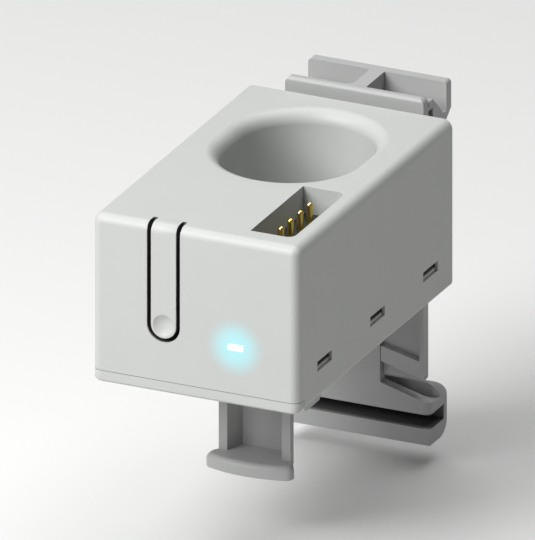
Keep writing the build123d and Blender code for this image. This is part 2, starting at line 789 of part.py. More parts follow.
def make_tab():
    """The pull tab: a tapered channel that is open to the front, over a rounded finger lip."""
    half = tab_w / 2
    back_half = tab_back_w / 2
    mouth = half - tab_flange
    root = mouth - (half - back_half) * tab_channel / (tab_channel + tab_web)
    shank = outline((mouth, tab_y), (half, tab_y), (back_half, tab_back), (-back_half, tab_back),
                    (-half, tab_y), (-mouth, tab_y), (-root, tab_y + tab_channel), (root, tab_y + tab_channel))
    wide = half + lip_over
    ends = tab_y - lip_front
    front = ThreePointArc((-wide, ends), (0, ends - lip_bulge), (wide, ends))
    sides = Polyline((wide, ends), (wide, ends + lip_side), (half, tab_y), (back_half, tab_back),
                     (-back_half, tab_back), (-half, tab_y), (-wide, ends + lip_side), (-wide, ends))
    plan = make_face(front + sides)

    def in_front(edge):
        return edge.center().Y < ends + lip_side / 2

    plan = fillet([v for v in plan.vertices() if v.Y < ends + 0.01], lip_end_r)
    lip = along_z(plan, tab_z - lip_t, tab_z)
    lip = fillet(lip.faces().sort_by(Axis.Z)[-1].edges().filter_by(in_front), lip_top_r)
    lip = fillet(lip.faces().sort_by(Axis.Z)[0].edges().filter_by(in_front), lip_under_r)
    return lip + along_z(shank, tab_z - 0.5, yoke_z1)


def make_spring():
    """The latch's coil spring, between the bracket's ledge and the stem's head."""
    low = ledge_top + wire_r + 0.02
    high = head_z - wire_r - 0.02
    path = Pos(0, spring_y, low) * Helix((high - low) / spring_turns, high - low, spring_r)
    start = Plane(origin=path @ 0, z_dir=path % 0)
    return sweep(start * RegularPolygon(wire_r, wire_sides), path=path, is_frenet=True)


def make_parts():
    """Every piece by its name, in the drawing's own frame."""
    body = make_housing_body()
    return {
        "housing_cover": make_cover(body),
        "base_plate": make_base_plate(body),
        "button_tongue": make_tongue(body),
        "lamp_window": make_lamp_window(),
        "status_lamp": make_lamp(),
        "circuit_board": make_board(),
        "switch_body": make_switch(),
        "switch_plunger": make_plunger(),
        "switch_feet": make_switch_feet(),
        "header_block": make_header(),
        "header_pins": make_pins(),
        "magnetic_core": make_core(),
        "core_holder": make_core_holder(),
        "hall_element": make_hall(),
        "hall_leads": make_hall_leads(),
        "controller_chip": make_chip(chip_x, chip_y, chip_s, chip_s),
        "line_driver_chip": make_chip(driver_x, driver_y, driver_w, driver_l),
        "chip_leads": make_chip_leads(),
        "capacitors": make_capacitors(),
        "rail_bracket": make_bracket(),
        "rail_latch": make_latch(),
        "latch_spring": make_spring(),
    }


for name, solid in make_parts().items():
    placed = Pos(0, -rail_y, -rail_mid_z) * solid
    placed.label = name
    export_step(placed, f"parts/{name}.step")
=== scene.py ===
"""Dresses a current sensor for mounting rail: mouldings, finishes, pins, spring, floor and light.

Lengths are in metres, in the frame of the solids: X along the rail, Y into the rail, Z up.
"""

from math import cos, pi, radians, sin

import bmesh
import bpy
from mathutils import Matrix, Vector


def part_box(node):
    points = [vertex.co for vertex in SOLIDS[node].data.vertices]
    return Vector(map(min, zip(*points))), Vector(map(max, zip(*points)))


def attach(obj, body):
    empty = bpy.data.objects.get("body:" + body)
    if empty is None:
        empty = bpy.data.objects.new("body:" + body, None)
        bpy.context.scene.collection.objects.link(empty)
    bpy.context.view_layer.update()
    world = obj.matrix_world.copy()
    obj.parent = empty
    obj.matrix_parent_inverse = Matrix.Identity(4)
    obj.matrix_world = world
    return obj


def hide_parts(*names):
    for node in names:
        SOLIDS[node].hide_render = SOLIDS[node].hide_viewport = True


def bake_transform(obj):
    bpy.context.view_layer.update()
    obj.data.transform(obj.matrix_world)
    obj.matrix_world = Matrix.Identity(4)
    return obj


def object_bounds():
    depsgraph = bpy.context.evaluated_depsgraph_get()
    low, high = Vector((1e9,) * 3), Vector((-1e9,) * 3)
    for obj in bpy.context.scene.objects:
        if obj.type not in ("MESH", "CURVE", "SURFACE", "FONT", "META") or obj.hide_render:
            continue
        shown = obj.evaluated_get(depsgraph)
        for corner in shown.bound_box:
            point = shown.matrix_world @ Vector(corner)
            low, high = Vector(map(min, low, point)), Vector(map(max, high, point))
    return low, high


bl_info = {
    "name": "Rail Current Sensor",
    "version": (1, 0, 0),
    "blender": (4, 5, 0),
    "location": "View3D > Sidebar > Sensor",
    "description": "Makes the finish, the small parts, the light and the camera of a current sensor",
    "category": "Object",
}

MM = 0.001

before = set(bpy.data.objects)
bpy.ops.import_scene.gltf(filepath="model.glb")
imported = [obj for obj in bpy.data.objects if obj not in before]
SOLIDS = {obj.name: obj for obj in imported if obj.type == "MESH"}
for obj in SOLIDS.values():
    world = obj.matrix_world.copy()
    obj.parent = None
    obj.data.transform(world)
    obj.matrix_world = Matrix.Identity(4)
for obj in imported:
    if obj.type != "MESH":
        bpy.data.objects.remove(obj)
CAD_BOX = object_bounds()
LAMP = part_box("lamp_window")
LAMP_FACE = Vector(((LAMP[0].x + LAMP[1].x) / 2, LAMP[0].y, (LAMP[0].z + LAMP[1].z) / 2))
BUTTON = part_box("button_tongue")
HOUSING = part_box("housing_cover")
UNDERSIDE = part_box("base_plate")[0].z
FOOT_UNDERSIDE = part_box("rail_latch")[0].z

# Places where shade is painted into the plastic's colour, darkening the inside of narrow gaps. Those in the
# housing are measured from its faces and its underside, and the driver's slot from the foot's underside and
# from the rail's front plane.
SLOT_DEPTH = (0.2 * MM, 2 * MM)
BUTTON_SLOT = 0.5 * MM
SKIN = 0.03 * MM
SNAP_WINDOW = (3.4 * MM, 4.75 * MM)
SNAP_DEPTH = (0.35 * MM, 1.3 * MM)
CORNER_ROOM = 3 * MM
PARTING = (1.34 * MM, 1.43 * MM)
PARTING_DEPTH = 1.6 * MM
DRIVER_SLOT = (1.9 * MM, 3.7 * MM)
DRIVER_MOUTH = (-1.25 * MM, -0.5 * MM)
DRIVER_END = 2.6 * MM

# How much light is left in those places
SLOT_LIGHT = 0.12
SNAP_LIGHT = 0.2
PARTING_LIGHT = 0.45
DRIVER_LIGHT = 0.25

# Points that are one, faces that are flat together, edges that are softened, and edges that stay sharp
SAME_POINT = 2e-7
NO_LENGTH = 1e-7
SAME_FACE = radians(0.6)
SOFT_EDGE = radians(32)
SHARP_EDGE = radians(50)
SMALL_SHARP_EDGE = radians(45)
LENS_EDGE = 0.06 * MM
HEADER_EDGE = 0.08 * MM
BLUNT_TIP = 0.08

# Room over the floor for the latch's pull, and where the camera and the lights look and stand
LATCH_ROOM = 2.6 * MM
VIEW_AIM = Vector((-2.57, -18.95, 3.58)) * MM
KEY_FROM = (-0.5, -0.95, 0.9)
CEILING_FROM = (0, 0.25, 1)
KEY_SIZE = 0.35
CEILING_SIZE = 0.5
LIGHT_AWAY = 0.5


# Sizes and colours that a user may change

class SensorPlastic(bpy.types.PropertyGroup):
    """Colours and surface of the moulded plastics"""
    housing_colour: bpy.props.FloatVectorProperty(
        name="Housing", description="Colour of the housing's plastic", subtype="COLOR", size=3,
        default=(0.42, 0.432, 0.42), min=0, max=1)
    clip_colour: bpy.props.FloatVectorProperty(
        name="Clip", description="Colour of the rail clip's plastic", subtype="COLOR", size=3,
        default=(0.345, 0.35, 0.345), min=0, max=1)
    roughness: bpy.props.FloatProperty(
        name="Roughness", description="How matt the moulded faces are", default=0.42, min=0.05, max=1)
    grain: bpy.props.FloatProperty(
        name="Grain", description="Size of the mould's fine texture", subtype="DISTANCE", unit="LENGTH",
        default=0.16 * MM, min=0.02 * MM)
    edge: bpy.props.FloatProperty(
        name="Edge rounding", description="Rounding of the mouldings' sharp edges", subtype="DISTANCE",
        unit="LENGTH", default=0.18 * MM, min=0)


class SensorLamp(bpy.types.PropertyGroup):
    """Light of the lamp and its glow in the plastic"""
    colour: bpy.props.FloatVectorProperty(
        name="Light", description="Colour of the lamp's light", subtype="COLOR", size=3,
        default=(0.06, 0.88, 1.0), min=0, max=1)
    brightness: bpy.props.FloatProperty(
        name="Brightness", description="Strength of the lamp's window", default=1.6, min=0)
    halo: bpy.props.FloatProperty(
        name="Halo", description="Strength of the glow in the plastic round the window", default=0.36, min=0)
    reach: bpy.props.FloatProperty(
        name="Reach", description="How far the glow spreads in the plastic", subtype="DISTANCE",
        unit="LENGTH", default=4.2 * MM, min=0)


class SensorSmallParts(bpy.types.PropertyGroup):
    """Sizes of the pins and the spring"""
    pin_tip: bpy.props.FloatProperty(
        name="Pin tip", description="Length of a pin's rounded tip", subtype="DISTANCE", unit="LENGTH",
        default=0.34 * MM, min=0)
    pin_rings: bpy.props.IntProperty(
        name="Pin rings", description="Rings of faces along a pin", default=36, min=4)
    spring_turns: bpy.props.IntProperty(
        name="Spring turns", description="Turns of the latch's spring", default=6, min=2)
    wire: bpy.props.FloatProperty(
        name="Wire", description="Thickness of the spring's wire", subtype="DISTANCE", unit="LENGTH",
        default=0.4 * MM, min=0.05 * MM)


class SensorStage(bpy.types.PropertyGroup):
    """Camera, lights and floor"""
    azimuth: bpy.props.FloatProperty(
        name="Azimuth", description="Turn of the camera to the right of the front", subtype="ANGLE",
        unit="ROTATION", default=radians(24.61))
    elevation: bpy.props.FloatProperty(
        name="Elevation", description="Height of the camera above level", subtype="ANGLE",
        unit="ROTATION", default=radians(22.69))
    view_height: bpy.props.FloatProperty(
        name="View height", description="What the picture takes in from bottom to top", subtype="DISTANCE",
        unit="LENGTH", default=60.31 * MM, min=1 * MM)
    key: bpy.props.FloatProperty(
        name="Key light", description="Power in watts of the large light at the front left",
        default=3.92, min=0)
    ceiling: bpy.props.FloatProperty(
        name="Ceiling light", description="Power in watts of the large light overhead", default=2.2, min=0)
    fill: bpy.props.FloatProperty(
        name="Surrounding light", description="Strength of the light from all sides", default=0.06, min=0)
    floor_colour: bpy.props.FloatVectorProperty(
        name="Floor", description="Colour of the floor", subtype="COLOR", size=3,
        default=(0.62, 0.62, 0.615), min=0, max=1)


# Node trees

def add_node(tree, kind, inputs=None, **options):
    """Adds a node with its options, its sockets filled with numbers or linked."""
    node = tree.nodes.new(kind)
    for option, value in options.items():
        setattr(node, option, value)
    for socket, value in (inputs or {}).items():
        if isinstance(value, bpy.types.NodeSocket):
            tree.links.new(value, node.inputs[socket])
        else:
            node.inputs[socket].default_value = value
    return node


def blank_material(name):
    """A material with only its shader, and the place on the surface to read patterns from."""
    material = bpy.data.materials.new(name)
    material.use_nodes = True
    tree = material.node_tree
    tree.nodes.clear()
    shader = add_node(tree, "ShaderNodeBsdfPrincipled")
    add_node(tree, "ShaderNodeOutputMaterial", {"Surface": shader.outputs["BSDF"]})
    place = add_node(tree, "ShaderNodeTexCoord").outputs["Object"]
    return material, tree, shader, place


def noise(tree, place, size, detail=2.0):
    """A cloudy pattern from 0 to 1 whose patches are about the given size."""
    sockets = {"Vector": place, "Scale": 1 / size, "Detail": detail}
    return add_node(tree, "ShaderNodeTexNoise", sockets).outputs["Fac"]


def between(tree, amount, low, high):
    """A number that goes from low to high as the pattern goes from its dark to its light patches."""
    spread = {"Value": amount, "From Min": 0.3, "From Max": 0.7, "To Min": low, "To Max": high}
    return add_node(tree, "ShaderNodeMapRange", spread).outputs["Result"]


def mixed(tree, amount, low, high):
    """A colour between two, by a pattern or a number."""
    sockets = {0: amount, 6: low, 7: high}
    return add_node(tree, "ShaderNodeMix", sockets, data_type="RGBA").outputs[2]


def maths(tree, operation, *values, clamp=False):
    """One step of arithmetic on numbers or sockets."""
    sockets = dict(enumerate(values))
    return add_node(tree, "ShaderNodeMath", sockets, operation=operation, use_clamp=clamp).outputs[0]


def bump(tree, height, strength, depth, under=None):
    """Small heights and hollows in the shading, on top of others if they are given."""
    sockets = {"Height": height, "Strength": strength, "Distance": depth}
    if under:
        sockets["Normal"] = under
    return add_node(tree, "ShaderNodeBump", sockets).outputs["Normal"]


def shade(colour, factor):
    """A colour made lighter or darker."""
    return (*(min(1.0, part * factor) for part in colour), 1.0)


def split(tree, place):
    """The three parts of a place."""
    return add_node(tree, "ShaderNodeSeparateXYZ", {"Vector": place}).outputs


def distance(tree, place, point):
    """How far a place is from a point."""
    sockets = {0: place, 1: point}
    return add_node(tree, "ShaderNodeVectorMath", sockets, operation="DISTANCE").outputs["Value"]


def inside(tree, value, low, high):
    """1 where a number lies between two others, and 0 elsewhere."""
    above = maths(tree, "GREATER_THAN", value, low)
    return maths(tree, "MULTIPLY", above, maths(tree, "LESS_THAN", value, high))


# Finishes

def button_slot(tree, parts):
    """1 on the walls of the slot round the button, where hardly any light comes, and 0 elsewhere."""
    low, high = BUTTON
    radius = (high.x - low.x) / 2
    across = maths(tree, "SUBTRACT", parts["X"], (low.x + high.x) / 2)
    under = maths(tree, "MINIMUM", maths(tree, "SUBTRACT", parts["Z"], low.z + radius), 0.0)
    flat = add_node(tree, "ShaderNodeCombineXYZ", {"X": across, "Y": under}).outputs["Vector"]
    ring = inside(tree, distance(tree, flat, (0, 0, 0)), radius - SKIN, radius + BUTTON_SLOT + SKIN)
    depth = inside(tree, parts["Y"], *(low.y + back for back in SLOT_DEPTH))
    return maths(tree, "MULTIPLY", ring, depth)


def snap_windows(tree, parts):
    """1 deep in the side windows of the snap hooks, where shade is painted, and 0 elsewhere."""
    low, high = HOUSING
    near, far = SNAP_DEPTH
    depth = inside(tree, maths(tree, "ABSOLUTE", parts["X"]), high.x - far, high.x - near)
    level = inside(tree, parts["Z"], *(UNDERSIDE + rise for rise in SNAP_WINDOW))
    along = inside(tree, parts["Y"], low.y + CORNER_ROOM, high.y - CORNER_ROOM)
    return maths(tree, "MULTIPLY", maths(tree, "MULTIPLY", depth, level), along)


def parting_line(tree, parts):
    """1 on the thin seam between the cover and the base plate's front strip, where its shade is painted, and
    0 elsewhere.
    """
    line = inside(tree, parts["Z"], *(UNDERSIDE + rise for rise in PARTING))
    front = maths(tree, "LESS_THAN", parts["Y"], HOUSING[0].y + PARTING_DEPTH)
    return maths(tree, "MULTIPLY", line, front)


def driver_slot(tree, parts):
    """1 deep in the screwdriver's slot of the foot, where shade is painted, fading out at its mouth."""
    mouth, dark = DRIVER_MOUTH
    level = inside(tree, parts["Z"], *(FOOT_UNDERSIDE + rise for rise in DRIVER_SLOT))
    deep = add_node(tree, "ShaderNodeMapRange", {"Value": parts["Y"], "From Min": mouth, "From Max": dark})
    short = maths(tree, "LESS_THAN", parts["Y"], DRIVER_END)
    return maths(tree, "MULTIPLY", level, maths(tree, "MULTIPLY", deep.outputs["Result"], short))


def lamp_glow(tree, shader, place, tone, lamp):
    """The lamp's light in the plastic round its window: it glows, and the plastic looks bluer there."""
    fall = {"Value": distance(tree, place, LAMP_FACE), "From Min": 0.4 * MM, "From Max": lamp.reach,
            "To Min": 1.0, "To Max": 0.0}
    near = add_node(tree, "ShaderNodeMapRange", fall, interpolation_type="SMOOTHERSTEP").outputs["Result"]
    tree.links.new(maths(tree, "MULTIPLY", near, lamp.halo), shader.inputs["Emission Strength"])
    shader.inputs["Emission Color"].default_value = (*lamp.colour, 1)
    bluer = (0.3, 0.4, 0.41, 1)
    return mixed(tree, maths(tree, "MULTIPLY", near, 0.7), tone, bluer)


def moulded_plastic(name, colour, plastic, painted_shade, lamp=None):
    """Satin plastic from a spark-eroded mould, with shade painted into its narrow gaps and a painted glow
    where a lamp is near.
    """
    material, tree, shader, place = blank_material(name)
    cloud = noise(tree, place, size=5 * MM, detail=3)
    grain = noise(tree, place, size=plastic.grain, detail=3)
    tone = mixed(tree, cloud, shade(colour, 0.97), shade(colour, 1.02))
    parts = split(tree, place)
    for shade_mask, light in painted_shade:
        tone = mixed(tree, shade_mask(tree, parts), tone, shade(colour, light))
    if lamp:
        tone = lamp_glow(tree, shader, place, tone, lamp)
    tree.links.new(tone, shader.inputs["Base Color"])
    rough = between(tree, grain, plastic.roughness - 0.05, plastic.roughness + 0.05)
    tree.links.new(rough, shader.inputs["Roughness"])
    sink = bump(tree, noise(tree, place, size=9 * MM, detail=1), strength=0.25, depth=0.02 * MM)
    fine = bump(tree, grain, strength=0.16, depth=0.02 * MM, under=sink)
    tree.links.new(fine, shader.inputs["Normal"])
    shader.inputs["IOR"].default_value = 1.53
    shader.inputs["Specular IOR Level"].default_value = 0.25
    return material


def lit_lens(name, lamp):
    """Milky clear plastic with the lamp on behind it, brightest in the middle."""
    material, tree, shader, place = blank_material(name)
    fall = {"Value": distance(tree, place, LAMP_FACE), "From Min": 0.2 * MM, "From Max": 1.6 * MM,
            "To Min": lamp.brightness, "To Max": lamp.brightness * 0.6}
    light = add_node(tree, "ShaderNodeMapRange", fall).outputs["Result"]
    tree.links.new(light, shader.inputs["Emission Strength"])
    milky, clear = (0.9, 0.97, 0.98, 1), (0.97, 1, 1, 1)
    tone = mixed(tree, noise(tree, place, size=0.6 * MM), milky, clear)
    tree.links.new(tone, shader.inputs["Base Color"])
    shader.inputs["Emission Color"].default_value = (0.86, 1, 1, 1)
    shader.inputs["Roughness"].default_value = 0.12
    shader.inputs["Coat Weight"].default_value = 0.5
    return material


def metal(name, colour, roughness, patch):
    """Bare or plated metal with a faint drawn texture."""
    material, tree, shader, place = blank_material(name)
    drawn = add_node(tree, "ShaderNodeMapping", {"Vector": place, "Scale": (1, 1, 0.15)}).outputs["Vector"]
    streak = noise(tree, drawn, size=patch, detail=4)
    tree.links.new(mixed(tree, streak, shade(colour, 0.86), shade(colour, 1.06)), shader.inputs["Base Color"])
    tree.links.new(between(tree, streak, roughness * 0.8, roughness * 1.25), shader.inputs["Roughness"])
    tree.links.new(bump(tree, streak, strength=0.1, depth=0.01 * MM), shader.inputs["Normal"])
    shader.inputs["Metallic"].default_value = 1
    return material


def filled_resin(name, colour, roughness):
    """Filled plastic, chip resin or ceramic, with fine speckle."""
    material, tree, shader, place = blank_material(name)
    speck = noise(tree, place, size=0.08 * MM, detail=4)
    tree.links.new(mixed(tree, speck, shade(colour, 0.7), shade(colour, 1.5)), shader.inputs["Base Color"])
    tree.links.new(between(tree, speck, roughness - 0.08, roughness + 0.08), shader.inputs["Roughness"])
    tree.links.new(bump(tree, speck, strength=0.2, depth=0.01 * MM), shader.inputs["Normal"])
    return material


def board_resist():
    """Green solder resist with the copper tracks showing through it as lighter lines."""
    material, tree, shader, place = blank_material("board resist")
    flat = add_node(tree, "ShaderNodeMapping", {"Vector": place, "Scale": (1, 1, 0)}).outputs["Vector"]
    grid = {"Vector": flat, "Scale": 1 / (1.4 * MM), "Randomness": 0.35}
    cells = add_node(tree, "ShaderNodeTexVoronoi", grid, feature="DISTANCE_TO_EDGE").outputs["Distance"]
    edge = {"Value": cells, "From Min": 0.05, "From Max": 0.09, "To Min": 1.0, "To Max": 0.0}
    track = add_node(tree, "ShaderNodeMapRange", edge).outputs["Result"]
    bare_resist, over_copper = (0.012, 0.09, 0.035, 1), (0.03, 0.2, 0.07, 1)
    tree.links.new(mixed(tree, track, bare_resist, over_copper), shader.inputs["Base Color"])
    tree.links.new(bump(tree, track, strength=0.4, depth=0.03 * MM), shader.inputs["Normal"])
    shader.inputs["Roughness"].default_value = 0.3
    shader.inputs["Coat Weight"].default_value = 0.3
    return material


def wound_strip(low, high):
    """Dark strip steel wound round an oval: the edges of its turns show as fine rings."""
    material, tree, shader, place = blank_material("wound strip")
    strip = 0.2 * MM
    middle = (low + high) / 2
    half_run = ((high.y - low.y) - (high.x - low.x)) / 2
    parts = split(tree, place)
    across = maths(tree, "SUBTRACT", parts["X"], middle.x)
    along = maths(tree, "ABSOLUTE", maths(tree, "SUBTRACT", parts["Y"], middle.y))
    end = maths(tree, "MAXIMUM", maths(tree, "SUBTRACT", along, half_run), 0.0)
    flat = add_node(tree, "ShaderNodeCombineXYZ", {"X": across, "Y": end}).outputs["Vector"]
    turns = maths(tree, "MULTIPLY", distance(tree, flat, (0, 0, 0)), 2 * pi / strip)
    ring = between(tree, maths(tree, "SINE", turns), 0.0, 1.0)
    between_turns, on_edge = (0.12, 0.12, 0.13, 1), (0.34, 0.34, 0.36, 1)
    tree.links.new(mixed(tree, ring, between_turns, on_edge), shader.inputs["Base Color"])
    tree.links.new(bump(tree, ring, strength=0.5, depth=0.02 * MM), shader.inputs["Normal"])
    shader.inputs["Metallic"].default_value = 1
    shader.inputs["Roughness"].default_value = 0.38
    return material


# Shapes

def show(name, mesh, material=None):
    """An object at the origin that shows a mesh."""
    thing = bpy.data.objects.new(name, mesh)
    bpy.context.scene.collection.objects.link(thing)
    if material:
        mesh.materials.clear()
        mesh.materials.append(material)
    return thing


def closed_skin(node):
    """A copy of a solid's skin with its points merged and its flat faces whole."""
    source = SOLIDS[node].data
    skin = bmesh.new()
    points = [skin.verts.new(v.co) for v in source.vertices]
    for face in source.polygons:
        skin.faces.new([points[i] for i in face.vertices])
    bmesh.ops.remove_doubles(skin, verts=skin.verts, dist=SAME_POINT)
    bmesh.ops.dissolve_degenerate(skin, edges=skin.edges, dist=NO_LENGTH)
    bmesh.ops.dissolve_limit(skin, angle_limit=SAME_FACE, verts=skin.verts, edges=skin.edges)
    mesh = bpy.data.meshes.new(node)
    skin.to_mesh(mesh)
    skin.free()
    return mesh


def loose_boxes(node):
    """The lowest and highest corners of each separate solid in a node, from the front to the back."""
    skin = bmesh.new()
    skin.from_mesh(SOLIDS[node].data)
    bmesh.ops.remove_doubles(skin, verts=skin.verts, dist=SAME_POINT)
    left = set(skin.verts)
    boxes = []
    while left:
        group = [left.pop()]
        for point in group:
            for edge in point.link_edges:
                other = edge.other_vert(point)
                if other in left:
                    left.remove(other)
                    group.append(other)
        low = Vector([min(p.co[i] for p in group) for i in range(3)])
        high = Vector([max(p.co[i] for p in group) for i in range(3)])
        boxes.append((low, high))
    skin.free()
    return sorted(boxes, key=lambda box: tuple(round(part, 6) for part in (box[0].y, box[0].x)))


def softened(node, name, material, width, body):
    """A moulding with its sharp edges rounded, in place of its plain solid."""
    piece = show(name, closed_skin(node), material)
    bevel = piece.modifiers.new("rounded edges", "BEVEL")
    bevel.width = width
    bevel.segments = 2
    bevel.limit_method = "ANGLE"
    bevel.angle_limit = SOFT_EDGE
    bevel.harden_normals = False
    graph = bpy.context.evaluated_depsgraph_get()
    mesh = bpy.data.meshes.new_from_object(piece.evaluated_get(graph), depsgraph=graph)
    piece.modifiers.remove(bevel)
    piece.data = mesh
    mesh.name = name
    mesh.shade_smooth()
    mesh.set_sharp_from_angle(angle=SHARP_EDGE)
    even = piece.modifiers.new("even shading", "WEIGHTED_NORMAL")
    even.keep_sharp = True
    even.weight = 80
    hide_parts(node)
    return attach(piece, body)


def finished_node(node, material):
    """Gives a solid that is shown as it is its finish."""
    solid = SOLIDS[node]
    solid.data.materials.clear()
    solid.data.materials.append(material)


def new_tree(name, inputs):
    """A Geometry Nodes tree with named inputs, its input node and its output node."""
    tree = bpy.data.node_groups.new(name, "GeometryNodeTree")
    for title, kind, value in inputs:
        socket = tree.interface.new_socket(title, in_out="INPUT", socket_type=kind)
        if value is not None:
            socket.default_value = value
    tree.interface.new_socket("Mesh", in_out="OUTPUT", socket_type="NodeSocketGeometry")
    return tree, tree.nodes.new("NodeGroupInput").outputs, tree.nodes.new("NodeGroupOutput")


def finish_tree(tree, shape, material, result):
    """Ends a tree: real faces, smooth, with their material."""
    real = add_node(tree, "GeometryNodeRealizeInstances", {"Geometry": shape})
    coated = add_node(tree, "GeometryNodeSetMaterial", {"Geometry": real.outputs["Geometry"],
                                                        "Material": material})
    tree.links.new(coated.outputs["Geometry"], result.inputs["Mesh"])
    return tree


def grown(name, tree, values, at=(0, 0, 0), seeds=None):
    """Runs a tree and keeps what it makes as a plain mesh in its place."""
    piece = show(name, seeds or bpy.data.meshes.new(name))
    run = piece.modifiers.new("build", "NODES")
    run.node_group = tree
    for item in tree.interface.items_tree:
        if item.in_out == "INPUT" and item.name in values:
            run[item.identifier] = values[item.name]
    graph = bpy.context.evaluated_depsgraph_get()
    mesh = bpy.data.meshes.new_from_object(piece.evaluated_get(graph), depsgraph=graph)
    piece.modifiers.remove(run)
    mesh.transform(Matrix.Translation(at))
    mesh.name = name
    piece.data = mesh
    mesh.shade_smooth()
    mesh.set_sharp_from_angle(angle=SMALL_SHARP_EDGE)
    return piece


def pin_tree():
    """A row of round pins with rounded tips on square tails."""
    tree, given, result = new_tree("pin row", [
        ("Count", "NodeSocketInt", 4), ("Pitch", "NodeSocketFloat", 2.54 * MM),
        ("Radius", "NodeSocketFloat", 0.38 * MM), ("Length", "NodeSocketFloat", 3 * MM),
        ("Tip", "NodeSocketFloat", 0.3 * MM), ("Rings", "NodeSocketInt", 36),
        ("Tail width", "NodeSocketFloat", 0.46 * MM), ("Tail length", "NodeSocketFloat", 14 * MM),
        ("Material", "NodeSocketMaterial", None)])
    top = add_node(tree, "ShaderNodeCombineXYZ", {"Z": given["Length"]}).outputs["Vector"]
    line = add_node(tree, "GeometryNodeCurvePrimitiveLine", {"End": top})
    rings = add_node(tree, "GeometryNodeResampleCurve", {"Curve": line.outputs["Curve"],
                                                         "Count": given["Rings"]})
    run = add_node(tree, "GeometryNodeSplineParameter").outputs["Length"]
    left = maths(tree, "SUBTRACT", given["Length"], run)
    into = maths(tree, "SUBTRACT", given["Tip"], left)
    share = maths(tree, "DIVIDE", into, given["Tip"], clamp=True)
    arc = maths(tree, "POWER", maths(tree, "SUBTRACT", 1.0, maths(tree, "POWER", share, 2.0)), 0.5)
    size = maths(tree, "MULTIPLY", maths(tree, "MAXIMUM", arc, BLUNT_TIP), given["Radius"])
    ring = add_node(tree, "GeometryNodeCurvePrimitiveCircle", {"Resolution": 32, "Radius": 1.0})
    pin = add_node(tree, "GeometryNodeCurveToMesh", {
        "Curve": rings.outputs["Curve"], "Profile Curve": ring.outputs["Curve"], "Scale": size,
        "Fill Caps": True})
    tail_size = add_node(tree, "ShaderNodeCombineXYZ", {"X": given["Tail width"], "Y": given["Tail width"],
                                                        "Z": given["Tail length"]})
    tail = add_node(tree, "GeometryNodeMeshCube", {"Size": tail_size.outputs["Vector"]})
    drop = maths(tree, "MULTIPLY", given["Tail length"], -0.5)
    below = add_node(tree, "ShaderNodeCombineXYZ", {"Z": drop}).outputs["Vector"]
    hung = add_node(tree, "GeometryNodeTransform", {"Geometry": tail.outputs["Mesh"], "Translation": below})
    whole = add_node(tree, "GeometryNodeJoinGeometry")
    tree.links.new(pin.outputs["Mesh"], whole.inputs["Geometry"])
    tree.links.new(hung.outputs["Geometry"], whole.inputs["Geometry"])
    step = add_node(tree, "ShaderNodeCombineXYZ", {"Y": given["Pitch"]}).outputs["Vector"]
    row = add_node(tree, "GeometryNodeMeshLine", {"Count": given["Count"], "Offset": step})
    pins = add_node(tree, "GeometryNodeInstanceOnPoints", {"Points": row.outputs["Mesh"],
                                                           "Instance": whole.outputs["Geometry"]})
    return finish_tree(tree, pins.outputs["Instances"], given["Material"], result)


def spring_tree():
    """A coil of wire whose end turns lie closer together."""
    tree, given, result = new_tree("coil spring", [
        ("Turns", "NodeSocketFloat", 6.0), ("Radius", "NodeSocketFloat", 1.25 * MM),
        ("Height", "NodeSocketFloat", 6 * MM), ("Wire", "NodeSocketFloat", 0.2 * MM),
        ("End", "NodeSocketFloat", 0.5), ("Material", "NodeSocketMaterial", None)])
    coil = add_node(tree, "GeometryNodeCurveSpiral", {
        "Resolution": 28, "Rotations": given["Turns"], "Start Radius": given["Radius"],
        "End Radius": given["Radius"], "Height": given["Height"]})
    share = add_node(tree, "GeometryNodeSplineParameter").outputs["Factor"]
    swing = maths(tree, "SINE", maths(tree, "MULTIPLY", share, 2 * pi))
    shift = maths(tree, "MULTIPLY", maths(tree, "MULTIPLY", swing, given["End"]), -1 / (2 * pi))
    lift = maths(tree, "MULTIPLY", shift, given["Height"])
    offset = add_node(tree, "ShaderNodeCombineXYZ", {"Z": lift}).outputs["Vector"]
    closed = add_node(tree, "GeometryNodeSetPosition", {"Geometry": coil.outputs["Curve"], "Offset": offset})
    section = add_node(tree, "GeometryNodeCurvePrimitiveCircle", {"Resolution": 12, "Radius": given["Wire"]})
    wire = add_node(tree, "GeometryNodeCurveToMesh", {
        "Curve": closed.outputs["Geometry"], "Profile Curve": section.outputs["Curve"], "Fill Caps": True})
    return finish_tree(tree, wire.outputs["Mesh"], given["Material"], result)


# Operators

class SENSOR_OT_housing(bpy.types.Operator):
    """Makes the housing's cover, its base plate and its button"""
    bl_idname = "sensor.housing"
    bl_label = "Housing"

    def execute(self, context):
        plastic, lamp = context.scene.sensor_plastic, context.scene.sensor_lamp
        # Shade is painted into the button's slot, the snap windows and the parting seam.
        painted_shade = ((button_slot, SLOT_LIGHT), (snap_windows, SNAP_LIGHT), (parting_line, PARTING_LIGHT))
        grey = moulded_plastic("housing grey", plastic.housing_colour, plastic, painted_shade, lamp)
        for node, name, body in (("housing_cover", "cover", "housing"), ("base_plate", "base", "housing"),
                                 ("button_tongue", "button", "button")):
            softened(node, name, grey, plastic.edge, body)
        return {"FINISHED"}


class SENSOR_OT_clip(bpy.types.Operator):
    """Makes the two halves of the rail clip"""
    bl_idname = "sensor.clip"
    bl_label = "Rail clip"

    def execute(self, context):
        plastic = context.scene.sensor_plastic
        # Shade is painted into the foot's screwdriver slot.
        grey = moulded_plastic("clip grey", plastic.clip_colour, plastic, ((driver_slot, DRIVER_LIGHT),))
        softened("rail_bracket", "bracket", grey, plastic.edge, "housing")
        softened("rail_latch", "latch", grey, plastic.edge, "latch")
        return {"FINISHED"}


class SENSOR_OT_lamp(bpy.types.Operator):
    """Makes the lit lamp window and the lamp behind it"""
    bl_idname = "sensor.lamp"
    bl_label = "Lamp"

    def execute(self, context):
        lens = lit_lens("lit lens", context.scene.sensor_lamp)
        softened("lamp_window", "lens", lens, LENS_EDGE, "housing")
        finished_node("status_lamp", lens)
        return {"FINISHED"}


